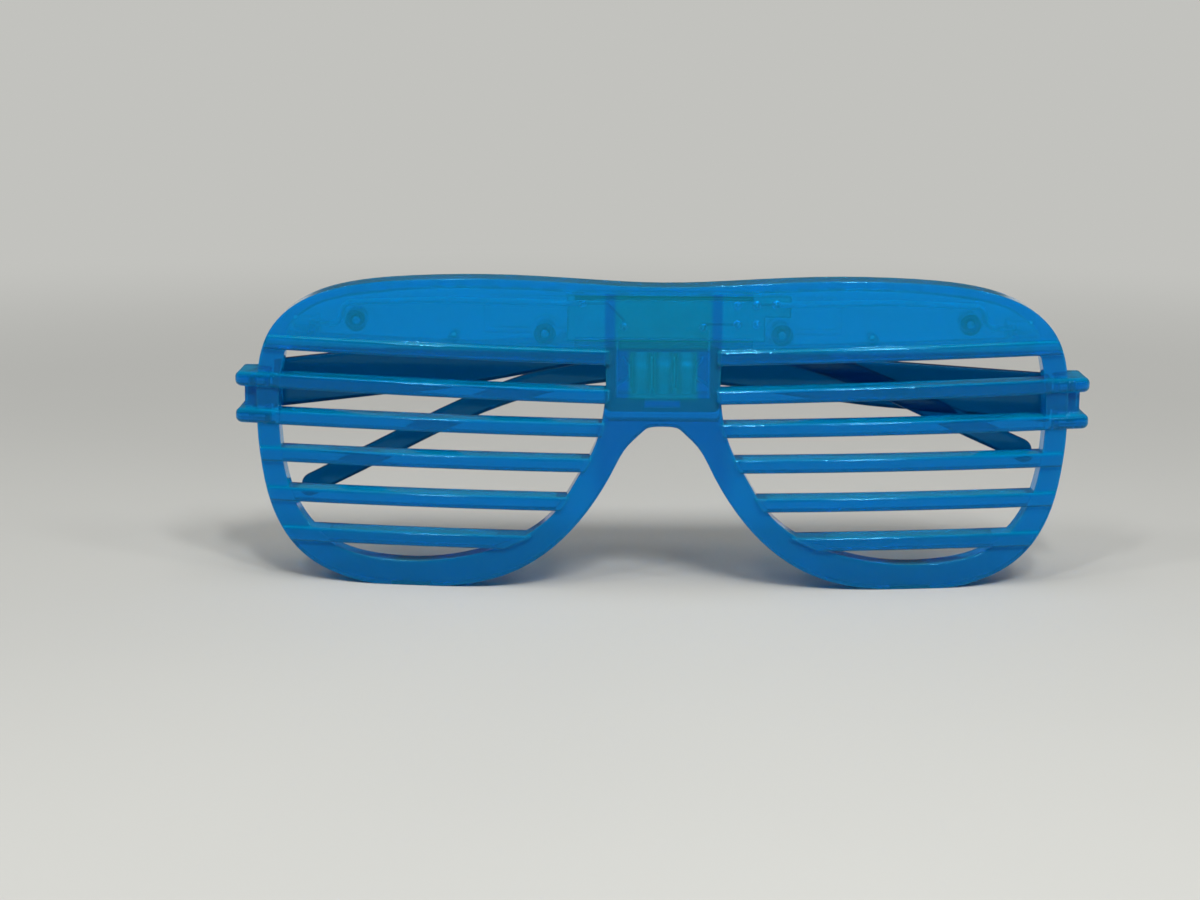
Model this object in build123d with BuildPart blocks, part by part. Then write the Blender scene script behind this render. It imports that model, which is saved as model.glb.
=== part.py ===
from build123d import *
import math
import os

# The front: a curved face with two slatted lens frames under a hollow brow
half_width = 72.1            # centreline to the outer edge of a rim
arch_height = 29.5           # feet of the rims to the top of the arch over the nose
rim_depth = 4.5              # front to back of the rims
rim_width = 4.2              # upright band of each rim that the ears spring from
front_wall = 1.5
bridge_wall = 1.9            # side walls of the box over the nose
foot_half = 3.6              # half length of the flat foot under each rim

# Outline of the right half, as shares of the half width and of the height.
# Three of the shares stand for sizes of their own: the box over the nose, the arch and the brow
bridge_share = 0.140         # side of the box over the nose
arch_share = 0.536           # top of the arch
brow_share = 0.748           # underside of the brow, over the middle of the lens
top_shares = [(0, 0.980), (0.200, 0.990), (0.416, 1.0), (0.610, 0.992), (0.777, 0.965),
              (0.895, 0.907), (0.967, 0.813), (0.996, 0.690), (1.0, 0.544)]
side_shares = [(1.0, 0.544), (0.989, 0.372), (0.963, 0.236), (0.915, 0.127), (0.832, 0.045), (0.738, 0.006)]
nose_shares = [(0.490, 0.008), (0.395, 0.038), (0.291, 0.111), (0.187, 0.249), (0.118, 0.397),
               (0.086, 0.470), (0.0485, 0.519), (0, arch_share)]
foot_share = 0.618           # middle of the foot along the half width
# Outline of the lens opening below its top corners: temple side and foot, then nose side
lens_outer_shares = [(0.944, 0.600), (0.942, 0.468), (0.924, 0.323), (0.879, 0.201), (0.792, 0.1125),
                     (0.692, 0.0835), (0.580, 0.081)]
lens_nose_shares = [(0.442, 0.115), (0.340, 0.170), (0.268, 0.244), (0.205, 0.370), (0.165, 0.470),
                    (0.144, 0.580)]
lens_top_share = 0.926       # outer top corner along the half width
nose_start_share = 0.55      # beyond this share of its length the outline is on the nose side

# The slats, which stand proud of the rims
slat_thick = 2.5
slat_proud = 1.0
slat_round = 0.45
slat_back_step = 0.2         # their backs stop just short of the rims' backs
slat_seat = 0.7              # how far their nose ends sink into the rim
slat_inset = 0.25            # their outer ends stop just inside the rim's edge
slat_middle_share = 0.54     # where along the half width their heights are measured
slat_height_shares = [0.643, 0.530, 0.412, 0.284, 0.155]
slat_slopes = [0.022, 0.012, 0.006, 0.004, 0.004]

# The brow, an open-backed tray closed by the rear cover
brow_slope = 0.022
brow_low_band = 3.7          # underside of the brow to the cover's raised middle
brow_top_band = 2.5          # raised middle to the top of the brow
# Inside of the brow's wall, from the middle to its outer end above the floor
hollow_shares = [(0, 0.947), (0.200, 0.957), (0.416, 0.967), (0.610, 0.959), (0.749, 0.9365),
                 (0.845, 0.903), (0.893, 0.862)]
hollow_side_share = 0.923
lip_drop = 0.15              # the brow's lowest bar hangs this far below its floor
opening_corner = 1.2

# The rear cover and its flat raised middle, which makes room for the board
cover_thick = 1.5
platform_side_gap = 5.2      # its ends stop short of the pegs
platform_wall = 1.0
platform_corner = 1.0

# Posts for the cover screws, and the locating pegs
post_radius = 1.85
inner_post_gap = 10.6        # from the side of the box over the nose
outer_post_gap = 6.6         # from the root of the lamp
inner_post_rise = 4.65       # above the underside of the brow
outer_post_rise = 5.57
peg_share = 0.48             # place of the peg between the two posts
peg_rise = 3.45
peg_radius = 0.95
peg_tip_radius = 0.5
peg_clear = 0.05
screw_radius = 0.75
screw_clear = 0.03
screw_length = 5.2
screw_head_radius = 1.6
screw_head_height = 0.9
screw_head_sink = 0.7
head_clear = 0.2
drive_width = 0.45
drive_depth = 0.4
well_wall = 0.9

# The bay for the cells and its door
bay_sill = 4.9               # top of the arch to the bay
box_lift = 0.4               # top of the arch to the underside of the box over the nose
box_corner = 0.8             # rounding of the box's lower corners
bay_rise = 1.4               # the bay ends this far above the underside of the brow
cell_height = 3.6
cell_cap_step = 0.95         # the cap is this much smaller in radius
cell_cap_height = 0.3
cell_round = 0.3
cell_count = 3
cell_clear = 0.15
tab_thick = 0.3
tab_height = 5.0
tab_depth = 3.0
link_clear = 0.025           # each side of a link tab
door_thick = 1.3
door_rise = 1.5              # the door starts this far above the arch
door_lap = 1.3               # and ends this far above the bay
door_tab_half = 3.4
door_screw_rise = 2.9        # door's top to its screw
door_clear = 0.15
hook_half = 3.0              # a tongue on the door's foot hooks into the sill
hook_thick = 1.0
hook_reach = 1.4
hook_rise = 1.6              # door's foot to the middle of the hook
boss_radius = 1.9
boss_end_gap = 0.4

# The contacts at both ends of the row of cells
contact_thick = 0.25
contact_depth = 4.0
contact_room = 2.45          # room for a spring at each end of the row of cells
contact_lap = 2.0            # how far each contact rises in front of the board

# The board and what is soldered to it
shelf_inset = 1.4            # shelves in front of the board end inside its left end
shelf_step = 0.6
board_post_gap = 1.95        # the board's left end stops short of the inner post
board_past_post = 1.7        # its right end passes the middle of the other one
board_drop = 0.9             # its foot lies below the cover's raised middle
board_top_clear = 0.08
board_thick = 1.0
notch_gap = 1.0              # round the post that the board's notch goes round
board_clear = 0.2
chip_radius = 2.2
chip_height = 0.8
blob_share = 0.8             # rounding of the blob as a share of its height
chip_gap = 5.4               # middle of the chip to the middle of the switch
resistor_size = (2.0, 0.5, 1.2)
resistor_gaps = [8.9, 5.4]   # from the board's left end
resistor_drop = 1.55         # below the middle of the switch

# The switch and its button
switch_gap = 1.0             # from the board's notch
switch_side = 4.4
switch_height = 1.4
plunger_radius = 0.9
plunger_sink = 0.6
plunger_clear = 0.1
button_radius = 1.9
button_flange_radius = 2.5
button_flange_thick = 0.5
button_clear = 0.2
button_flange_clear = 0.35   # round the flange, inside the cover's raised middle
button_gap = 0.9             # between the flange and the switch
button_proud = 0.9
button_travel = 0.3
button_round = 0.4

# The lamps in the outer corners of the brow and their wires
led_radius = 1.5
led_flange_radius = 1.9
led_flange_thick = 0.8
led_length = 4.6
dome_share = 0.9             # rounding of the lens end as a share of its radius
led_tip_past = 0.8           # the tip passes the last point of the hollow's roof
led_rise = 4.42              # above the underside of the brow
led_gap = 0.35               # in front of the flange and behind it
led_clear = 0.08
cradle_thick = 1.2
lead_side = 0.45
lead_length = 1.6
lead_pitch = 1.3             # the two leads lie one behind the other
wire_radius = 0.45
wire_lead_gap = 3.4          # lamp's root to where the wires turn up
wire_bend_gap = 4.1          # and to where they turn along
wire_post_clear = 1.05       # above the outer post
wire_peg_gap = 3.3           # beyond the peg, where they lie highest
wire_high_drop = 1.2         # below the board's top there
wire_end_drop = 1.5          # and at their ends
wire_lap = 2.0               # how far each wire lies on the board
wire_bend = 2.0

# The hinges: two ears on the front, with the temple's knuckle between them
hinge_past = 0.7             # the hinge axis lies outside the rim's edge
hinge_gap = 1.65             # and behind the rim's back
temple_pass = 3.0            # the hinge axis lies this far behind the battery door
ear_count = 2                # the two upper slats carry the ears
ear_radius = 3.2
ear_thick = 2.6
ear_round = 1.0
ear_front_corner = 1.6
web_clear = 0.4              # between the ears' web and the knuckle
pin_radius = 0.8
pin_clear = 0.05
pin_length = 1.9
knuckle_radius = 1.6
knuckle_clear = 0.25

# The temples, folded flat behind the front
temple_thick = 2.2
temple_gap = 0.6             # the hinge axis lies this far inside its inner face
temple_tip_gap = 8.62        # room past the tip, measured along the folded temple
temple_bend_radius = 81.7
temple_bend_deg = 30.8
temple_tail = 31.6
temple_root = 3.6            # full height starts this far from the axis
temple_root_height = 8.6
temple_tip_height = 3.9
temple_round = 0.6
left_rise_deg = 6.8
left_fold_deg = -0.7
left_lift = 1.3              # the blade's middle line passes above the hinge's middle
right_rise_deg = 3.7
right_fold_deg = 2.7
right_lift = -0.1
# Height along the temple: share of its length, share of the root height
temple_height_shares = [(0.21, 0.98), (0.35, 0.74), (0.49, 0.56), (0.63, 0.50), (0.78, 0.45), (0.89, 0.45)]

overrun = 2.0                # how far a cutting shape runs past what it cuts

# Sizes across: the row of cells sets the bay, and the bay sets the box over the nose
cell_pitch = cell_height + tab_thick + 2 * link_clear
row_end = (cell_count * cell_pitch - tab_thick) / 2 - link_clear
bay_half = row_end + contact_room
bridge_half = bay_half + bridge_wall
hinge_x = half_width + hinge_past
edge = half_width + overrun

# Sizes from front to back: the lamps set the brow, and the button's parts stand on the board
brow_depth = front_wall + 2 * (led_flange_radius + led_gap)
led_depth = (front_wall + brow_depth) / 2
board_back = brow_depth - board_clear
board_front = board_back - board_thick
switch_back = board_back + switch_height
flange_back = switch_back + button_gap + button_flange_thick
platform_back = flange_back + plunger_clear + platform_wall
bridge_back = platform_back
cell_radius = (bridge_back - front_wall) / 2 - cell_clear
cell_y = (bridge_back + front_wall) / 2
door_back = bridge_back + door_thick

# The face curves back so far that the temples, hinged behind its ends, pass the door
hinge_y = door_back + temple_pass
wrap_depth = hinge_y - rim_depth - hinge_gap
wrap_radius = (half_width ** 2 + wrap_depth ** 2) / (2 * wrap_depth)

# Sizes upward: arch, bay, underside of the brow, the cover's raised middle, top
bay_low = arch_height + bay_sill
bay_high = bay_low + 2 * (cell_radius + cell_clear)
cell_z = (bay_low + bay_high) / 2
lens_height = bay_high - bay_rise
platform_low = lens_height + brow_low_band
platform_high = platform_low + 2 * (button_flange_radius + button_flange_clear + platform_wall)
front_height = platform_high + brow_top_band


def front_y(x):
    """How far the face has curved back at a distance x from the centreline."""
    return wrap_radius - math.sqrt(wrap_radius ** 2 - x ** 2)


# The folded temples end short of the other hinge
temple_straight = (2 * hinge_x - temple_tip_gap
                   - temple_bend_radius * math.sin(math.radians(temple_bend_deg))
                   - temple_tail * math.cos(math.radians(temple_bend_deg)))


def temple_point(along, offset, rise_deg, lift):
    """A point beside the temple's middle line, seen from its face."""
    rise = math.radians(rise_deg)
    turn_length = math.radians(temple_bend_deg) * temple_bend_radius
    turned = min(max(along - temple_straight, 0), turn_length)
    heading = rise - turned / temple_bend_radius
    straight = min(along, temple_straight)
    rest = max(along - temple_straight - turn_length, 0)
    x = (straight * math.cos(rise) + temple_bend_radius * (math.sin(rise) - math.sin(heading))
         + rest * math.cos(heading))
    z = (straight * math.sin(rise) + temple_bend_radius * (math.cos(heading) - math.cos(rise))
         + rest * math.sin(heading))
    return (x - offset * math.sin(heading), z + lift + offset * math.cos(heading))


temple_length = temple_straight + math.radians(temple_bend_deg) * temple_bend_radius + temple_tail
temple_reach = temple_point(temple_length, 0, right_rise_deg, right_lift)[0] - temple_round
slat_front = front_y(bridge_half - slat_seat) - slat_proud
temple_back = (hinge_y + (temple_thick - temple_gap) * math.cos(math.radians(right_fold_deg))
               + temple_reach * math.sin(math.radians(right_fold_deg)))
# The origin lies under the middle of the folded object
face_y = -(slat_front + temple_back) / 2
slat_middle = slat_middle_share * half_width


def behind(depth):
    """The upright plane at a depth behind the middle of the face."""
    return Plane.XZ.offset(-(face_y + depth))


def between(share, knots):
    """A length for a share, in line between the pairs of share and length on either side."""
    for (low_share, low), (high_share, high) in zip(knots, knots[1:]):
        if share <= high_share:
            break
    return low + (high - low) * (share - low_share) / (high_share - low_share)


def across(share):
    """Distance from the centreline for a share of the half width."""
    return between(share, [(0, 0), (bridge_share, bridge_half), (1, half_width)])


def up(share):
    """Height above the feet for a share of the height."""
    return between(share, [(0, 0), (arch_share, arch_height), (brow_share, lens_height), (1, front_height)])


def placed(shares):
    """Points of the outline in real sizes."""
    return [(across(wide), up(high)) for wide, high in shares]


def brow_line(x):
    """Height of the brow's underside at x."""
    return lens_height + brow_slope * (x - slat_middle)


def slat_line(number, x):
    """Height of a slat's middle at x."""
    return up(slat_height_shares[number]) + slat_slopes[number] * (x - slat_middle)


def wrap_slab(front_depth, back_depth):
    """A slab that follows the face's curve between two depths behind it."""
    reach = half_width + overrun
    bend = front_y(reach)
    with BuildPart() as slab:
        with BuildSketch(Plane.XY.offset(-overrun)):
            with BuildLine():
                near = face_y + front_depth
                far = face_y + back_depth
                ThreePointArc((-reach, near + bend), (0, near), (reach, near + bend))
                Line((reach, near + bend), (reach, far + bend))
                ThreePointArc((reach, far + bend), (0, far), (-reach, far + bend))
                Line((-reach, far + bend), (-reach, near + bend))
            make_face()
        extrude(amount=front_height + 2 * overrun)
    return slab.part


def prism(sketch, front, back):
    """A flat region seen square on, run straight back between two depths."""
    with BuildPart() as run:
        with BuildSketch(behind(back)):
            add(sketch)
        extrude(amount=back - front)
    return run.part


def block(x_low, x_high, z_low, z_high, front, back):
    """A box between two sides, two heights and two depths."""
    with BuildPart() as box:
        with BuildSketch(behind(back)):
            Polygon((x_low, z_low), (x_high, z_low), (x_high, z_high), (x_low, z_high), align=None)
        extrude(amount=back - front)
    return box.part


def rod(x, z, radius, front, back):
    """A round bar that runs straight back between two depths."""
    with BuildPart() as bar:
        with BuildSketch(behind(back)):
            with Locations((x, z)):
                Circle(radius)
        extrude(amount=back - front)
    return bar.part


def crossings(curve, low, high, inward):
    """Where a curve passes two heights, both points moved inward at right angles to their chord."""
    steps = 400
    points = [curve.position_at(step / steps) for step in range(steps + 1)]
    found = []
    for up in (low, high):
        here = [one.X for one, other in zip(points, points[1:]) if (one.Y - up) * (other.Y - up) <= 0]
        found.append(max(here))
    lean = math.atan2(found[1] - found[0], high - low)
    shift = inward / math.cos(lean)
    return found[0] - shift, found[1] - shift


# Flat regions of the right half of the front, seen square on
deep = front_y(edge) + brow_depth + overrun
with BuildSketch() as whole:
    with BuildLine():
        foot = across(foot_share)
        crown = Spline(*placed(top_shares), tangents=[(1, 0), (0, -1)])
        side = Spline(*placed(side_shares), (foot + foot_half, 0), tangents=[(0, -1), (-1, 0)])
        Line(side @ 1, (foot - foot_half, 0))
        Spline((foot - foot_half, 0), *placed(nose_shares), tangents=[(-1, 0), (-1, 0)])
        mirror(about=Plane.YZ)
    make_face()

with BuildSketch() as outline:
    add(whole.sketch)
    Polygon((0, 0), (edge, 0), (edge, front_height + overrun), (0, front_height + overrun),
            align=None, mode=Mode.INTERSECT)

lens_top = across(lens_top_share)
lens_start = (lens_top, brow_line(lens_top))
lens_end = (bridge_half, brow_line(bridge_half))
with BuildSketch() as opening:
    with BuildLine():
        lens = Spline(lens_start, *placed(lens_outer_shares + lens_nose_shares), lens_end)
        Line(lens_end, lens_start)
    make_face()
    fillet(opening.vertices().group_by(Axis.Y)[-2:], opening_corner)

brow_low = brow_line(0)
with BuildSketch() as brow_region:
    add(outline.sketch)
    Polygon((0, brow_low), (edge, brow_line(edge)), (edge, front_height + overrun),
            (0, front_height + overrun), align=None, mode=Mode.INTERSECT)

hollow_side = across(hollow_side_share)
hollow_floor_end = (hollow_side, brow_line(hollow_side) + slat_thick)
with BuildSketch() as brow_hollow:
    with BuildLine():
        roof = Spline(*placed(hollow_shares), hollow_floor_end, tangents=[(1, 0), (0, -1)])
        Polyline(hollow_floor_end, (0, brow_low + slat_thick), roof @ 0)
    make_face()

box_bottom = arch_height + box_lift
with BuildSketch() as bridge_region:
    Polygon((0, box_bottom), (bridge_half, box_bottom), (bridge_half, brow_line(bridge_half)), (0, brow_low),
            align=None)
    fillet(bridge_region.vertices().group_by(Axis.Y)[0].sort_by(Axis.X)[-1], box_corner)

# The front's body: rims, brow and nose box as one solid with rounded front edges
rim_slab = wrap_slab(0, rim_depth)
brow_slab = wrap_slab(0, brow_depth)
hollow_slab = wrap_slab(front_wall, brow_depth + overrun)
outline_run = prism(outline.sketch, 0, deep)
brow_run = prism(brow_region.sketch, 0, deep)
bridge_run = prism(bridge_region.sketch, rim_depth / 2, bridge_back)
hollow_run = prism(brow_hollow.sketch, 0, deep)
opening_run = prism(opening.sketch, -overrun, deep)

with BuildPart() as hollow_body:
    add(hollow_run)
    add(hollow_slab, mode=Mode.INTERSECT)
with BuildPart() as brow_body:
    add(brow_run)
    add(brow_slab, mode=Mode.INTERSECT)


# The slats, rounded along their front edges
slat_slab = wrap_slab(-slat_proud, rim_depth - slat_back_step)
nose_curve = lens.trim(nose_start_share, 1)


def slat(hand, line, reach, on_nose):
    """One slat on the side hand gives, rounded in front; line tells its underside's height."""
    far = hand * edge
    with BuildSketch() as flat:
        Polygon((0, line(0)), (far, line(edge)), (far, line(edge) + slat_thick), (0, line(0) + slat_thick),
                align=None)
    run = prism(flat.sketch, -overrun, deep)
    low = line(half_width)
    low_out = reach
    high_out = reach
    low_in = bridge_half - slat_seat
    high_in = low_in
    if on_nose:
        low_nose = line(bridge_half)
        low_in, high_in = crossings(nose_curve, low_nose, low_nose + slat_thick, slat_seat)
    if reach is None:
        outer_curve = crown if low > up(side_shares[0][1]) else side
        low_out, high_out = crossings(outer_curve, low, low + slat_thick, slat_inset)
    lean_out = (high_out - low_out) / slat_thick * overrun
    lean_in = (high_in - low_in) / slat_thick * overrun
    with BuildSketch() as ends:
        Polygon((hand * (low_in - lean_in), low - overrun), (hand * (low_out - lean_out), low - overrun),
                (hand * (high_out + lean_out), low + slat_thick + overrun),
                (hand * (high_in + lean_in), low + slat_thick + overrun), align=None)
    trim = prism(ends.sketch, -overrun, deep)
    with BuildPart() as bar:
        add(run)
        add(slat_slab, mode=Mode.INTERSECT)
        curved = bar.edges().filter_by(lambda one: one.geom_type != GeomType.LINE)
        fillet(curved.sort_by(lambda one: one.position_at(0).Y + one.position_at(1).Y)[:2], slat_round)
        add(trim, mode=Mode.INTERSECT)
    return bar.part


ear_start = half_width - rim_width
slat_bars = []
for hand in (1, -1):
    for number in range(len(slat_slopes)):
        reach = None
        if number < ear_count:
            reach = ear_start + slat_seat
        slat_bars.append(slat(hand, lambda x, row=number: slat_line(row, x) - slat_thick / 2, reach, True))
    slat_bars.append(slat(hand, lambda x: brow_line(x) - lip_drop, None, False))

# The hinge ears, which carry on the two upper slats
ear_front = front_y(hinge_x + ear_radius) - slat_proud
ear_start_front = front_y(ear_start) - slat_proud
ear_heights = [slat_line(0, hinge_x), slat_line(1, hinge_x)]
ear_gap_low = ear_heights[1] + ear_thick / 2
ear_gap_high = ear_heights[0] - ear_thick / 2
# A web between the two ears of a hinge stops the temple
web_reach = hinge_x + knuckle_radius
web_back = hinge_y - knuckle_radius - web_clear


def ear(hand, height):
    """One ear, with a square outer corner behind that stops the temple."""
    axis_x = hand * hinge_x
    start = hand * ear_start
    outer = hand * (hinge_x + ear_radius)
    inner = hand * (hinge_x - ear_radius)
    back = face_y + hinge_y + ear_radius
    inner_back = face_y + front_y(ear_start) + rim_depth
    with BuildPart() as lug:
        with BuildSketch(Plane.XY.offset(height - ear_thick / 2)):
            with BuildLine():
                Polyline((start, inner_back), (start, face_y + ear_start_front),
                         (outer, face_y + ear_front), (outer, back), (axis_x, back))
                RadiusArc((axis_x, back), (inner, face_y + hinge_y), -hand * ear_radius)
                Polyline((inner, face_y + hinge_y), (inner, inner_back), (start, inner_back))
            make_face()
        extrude(amount=ear_thick)
        upright = lug.edges().filter_by(Axis.Z).sort_by(lambda one: -hand * one.position_at(0).X)[:2]
        fillet(upright.sort_by(Axis.Y)[0], ear_front_corner)
        outer_face = lug.faces().sort_by(lambda one: -hand * one.center().X)[0]
        fillet(outer_face.edges(), ear_round)
        fillet(lug.edges().group_by(Axis.Y)[0], slat_round)
    return lug.part


def pin_hole(hand, height, reach):
    """A blind hole for a pin on the hinge axis."""
    with BuildPart() as hole:
        with BuildSketch(Plane.XY.offset(height)):
            with Locations((hand * hinge_x, face_y + hinge_y)):
                Circle(pin_radius + pin_clear)
        extrude(amount=reach)
    return hole.part


ear_solids = []
pin_holes = []
for hand in (1, -1):
    for height in ear_heights:
        ear_solids.append(ear(hand, height))
    ends = sorted((hand * ear_start, hand * web_reach))
    ear_solids.append(block(ends[0], ends[1], ear_heights[1], ear_heights[0], web_back - ear_thick, web_back))
    pin_holes.append(pin_hole(hand, ear_gap_low, -pin_length - pin_clear))
    pin_holes.append(pin_hole(hand, ear_gap_high, pin_length + pin_clear))

# Places inside the brow, from its outer end inward: lamp, outer post, peg, inner post, board
led_x = placed(hollow_shares)[-1][0] + led_tip_past - led_length
led_z = brow_line(led_x) + led_rise
outer_post_x = led_x - outer_post_gap
inner_post_x = bridge_half + inner_post_gap
outer_post_z = brow_line(outer_post_x) + outer_post_rise
inner_post_z = brow_line(inner_post_x) + inner_post_rise
post_places = [(outer_post_x, outer_post_z), (inner_post_x, inner_post_z)]
peg_x = inner_post_x + peg_share * (outer_post_x - inner_post_x)
peg_z = brow_line(peg_x) + peg_rise
platform_half = peg_x - platform_side_gap
board_left = inner_post_x - post_radius - board_post_gap
board_right = inner_post_x + board_past_post
board_low = platform_low - board_drop
board_high = placed(hollow_shares)[0][1] - board_top_clear
board_notch_x = inner_post_x - post_radius - notch_gap
board_notch_z = inner_post_z + post_radius + notch_gap
shelf_half = board_left - shelf_inset
switch_x = board_notch_x - switch_gap - switch_side / 2
switch_z = (platform_low + platform_high) / 2

# Posts, pegs, shelves and cradle
posts = []
post_holes = []
for post_x, post_z in post_places:
    posts.append(rod(post_x, post_z, post_radius, front_y(post_x) + front_wall / 2,
                     front_y(post_x - post_radius) + brow_depth))
    post_holes.append(rod(post_x, post_z, screw_radius + screw_clear,
                          front_y(post_x) + front_wall + screw_clear,
                          front_y(post_x) + brow_depth + overrun))
peg_back = front_y(peg_x - peg_radius) + brow_depth
posts.append(rod(peg_x, peg_z, peg_radius, front_y(peg_x) + front_wall / 2, peg_back))
posts.append(rod(peg_x, peg_z, peg_tip_radius, peg_back - peg_radius, peg_back + cover_thick - peg_clear))
shelf_low = block(-overrun, shelf_half, brow_low, board_low + shelf_step, front_wall / 2,
                  board_front)
shelf_high = block(-overrun, shelf_half, board_high - shelf_step, board_high + shelf_step,
                   front_wall / 2, board_front)
led_floor = brow_line(led_x)
led_y = front_y(led_x) + led_depth
cradle = block(led_x + led_flange_thick + led_clear, led_x + led_flange_thick + led_clear + cradle_thick,
               led_floor, led_z, front_y(led_x) + front_wall, front_y(led_x) + brow_depth - led_clear)


def across_rod(x_low, x_high, depth, height, radius):
    """A round bar that runs across, from left to right."""
    with BuildPart() as bar:
        with BuildSketch(Plane.YZ.offset(x_low)):
            with Locations((face_y + depth, height)):
                Circle(radius)
        extrude(amount=x_high - x_low)
    return bar.part


cradle_bore = across_rod(led_x, led_x + led_length, led_y, led_z, led_radius + led_clear)

# The bay: its roof has slots for the contacts, and its sill a pocket for the door's hook
bay_hollow = block(-overrun, bay_half, bay_low, bay_high, front_wall, bridge_back + overrun)
bridge_roof = block(0, bridge_half, brow_low, board_low - board_clear, front_wall / 2, bridge_back)
contact_x = bay_half - contact_thick
contact_top = board_low + contact_lap
contact_slot = block(contact_x - tab_thick, bay_half, bay_high - tab_thick, contact_top,
                     cell_y - contact_depth / 2 - cell_clear, board_front + board_clear)
door_bottom = arch_height + door_rise
door_top = bay_high + door_lap
door_screw_z = door_top + door_screw_rise
hook_z = door_bottom + hook_rise
hook_pocket = block(-overrun, hook_half + door_clear, hook_z - hook_thick / 2 - door_clear,
                    hook_z + hook_thick / 2 + door_clear, bridge_back - hook_reach - door_clear,
                    bridge_back + overrun)

with BuildPart() as front_half:
    add(outline_run)
    add(rim_slab, mode=Mode.INTERSECT)
    add(brow_body.part)
    add(bridge_run)
    add(bridge_roof)
    add(opening_run, mode=Mode.SUBTRACT)
    add(hollow_body.part, mode=Mode.SUBTRACT)
    for one in posts:
        add(one)
    add(cradle)
    add(shelf_low)
    add(shelf_high)
    add(bay_hollow, mode=Mode.SUBTRACT)
    add(contact_slot, mode=Mode.SUBTRACT)
    add(hook_pocket, mode=Mode.SUBTRACT)
    add(cradle_bore, mode=Mode.SUBTRACT)
    for one in post_holes:
        add(one, mode=Mode.SUBTRACT)
    split(bisect_by=Plane.YZ, keep=Keep.TOP)
with BuildPart() as front_frame:
    add(front_half.part)
    mirror(about=Plane.YZ)
    for one in slat_bars + ear_solids:
        add(one)
    for one in pin_holes:
        add(one, mode=Mode.SUBTRACT)
os.makedirs("parts", exist_ok=True)
front_frame.part.label = "front_frame"
export_step(front_frame.part, "parts/front_frame.step")

# The rear cover: a curved plate over the brow with a flat raised middle
platform_face = block(-platform_half, platform_half, platform_low, platform_high, brow_depth, platform_back)
platform_hollow = block(platform_wall - platform_half, platform_half - platform_wall,
                        platform_low + platform_wall, platform_high - platform_wall,
                        brow_depth - overrun, platform_back - platform_wall)
cover_slab = wrap_slab(brow_depth, brow_depth + cover_thick)
beyond_slab = wrap_slab(brow_depth, brow_depth + platform_back)
door_notch = block(-bridge_half, bridge_half, 0, door_top + door_clear, 0, platform_back + overrun)
brow_sheet = prism(brow_region.sketch, 0, deep + cover_thick)
head_seat = cover_thick - screw_head_sink
wells = []
well_rings = []
cover_bores = []
for post_x, post_z in post_places:
    rear = front_y(post_x) + brow_depth
    wells.append(rod(post_x, post_z, screw_head_radius + head_clear, rear + head_seat, platform_back + deep))
    ring = screw_head_radius + head_clear + well_wall
    well_rings.append(rod(post_x, post_z, ring, front_y(post_x + ring) + brow_depth, platform_back))
    cover_bores.append(rod(post_x, post_z, screw_radius + screw_clear, rear - overrun,
                           platform_back + overrun))
wells.append(rod(peg_x, peg_z, peg_tip_radius + peg_clear, peg_back - overrun,
                 peg_back + cover_thick + overrun))

with BuildPart() as cover_half:
    add(brow_sheet)
    add(cover_slab, mode=Mode.INTERSECT)
    add(door_notch, mode=Mode.SUBTRACT)
with BuildPart() as platform_body:
    add(platform_face)
    add(beyond_slab, mode=Mode.INTERSECT)
door_boss = rod(0, door_screw_z, boss_radius, board_front + board_thick + boss_end_gap, platform_back)
boss_bore = rod(0, door_screw_z, screw_radius + screw_clear, board_front, platform_back + overrun)
button_bore = rod(switch_x, switch_z, button_radius + button_clear, brow_depth, platform_back + overrun)

with BuildPart() as rear_cover:
    add(cover_half.part)
    mirror(about=Plane.YZ)
    add(platform_body.part)
    add(platform_hollow, mode=Mode.SUBTRACT)
    add(door_boss)
    add(well_rings[1])
    add(mirror(well_rings[1], about=Plane.YZ, mode=Mode.PRIVATE))
    for one in wells + cover_bores:
        add(one, mode=Mode.SUBTRACT)
        add(mirror(one, about=Plane.YZ, mode=Mode.PRIVATE), mode=Mode.SUBTRACT)
    add(boss_bore, mode=Mode.SUBTRACT)
    add(button_bore, mode=Mode.SUBTRACT)
    add(door_notch, mode=Mode.SUBTRACT)
rear_cover.part.label = "rear_cover"
export_step(rear_cover.part, "parts/rear_cover.step")


def screw(x, z, seat, length):
    """A self-tapping screw whose round head rests on its seat, with a cross drive."""
    shank = rod(x, z, screw_radius, seat - length, seat)
    with BuildPart() as body:
        add(shank)
        chamfer(body.edges().group_by(Axis.Y)[0], screw_radius / 2)
        with BuildSketch(behind(seat + screw_head_height)):
            with Locations((x, z)):
                Circle(screw_head_radius)
        extrude(amount=screw_head_height)
        fillet(body.edges().group_by(Axis.Y)[-1], screw_head_height / 2)
        with BuildSketch(behind(seat + screw_head_height)):
            with Locations((x, z)):
                Rectangle(2 * screw_radius, drive_width)
                Rectangle(drive_width, 2 * screw_radius)
        extrude(amount=drive_depth, mode=Mode.SUBTRACT)
    return body.part


screw_bodies = []
for post_x, post_z in post_places:
    seat = front_y(post_x) + brow_depth + head_seat
    screw_bodies.append(screw(post_x, post_z, seat, screw_length))
    screw_bodies.append(screw(-post_x, post_z, seat, screw_length))
with BuildPart() as cover_screws:
    for one in screw_bodies:
        add(one)
cover_screws.part.label = "cover_screws"
export_step(cover_screws.part, "parts/cover_screws.step")

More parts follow.
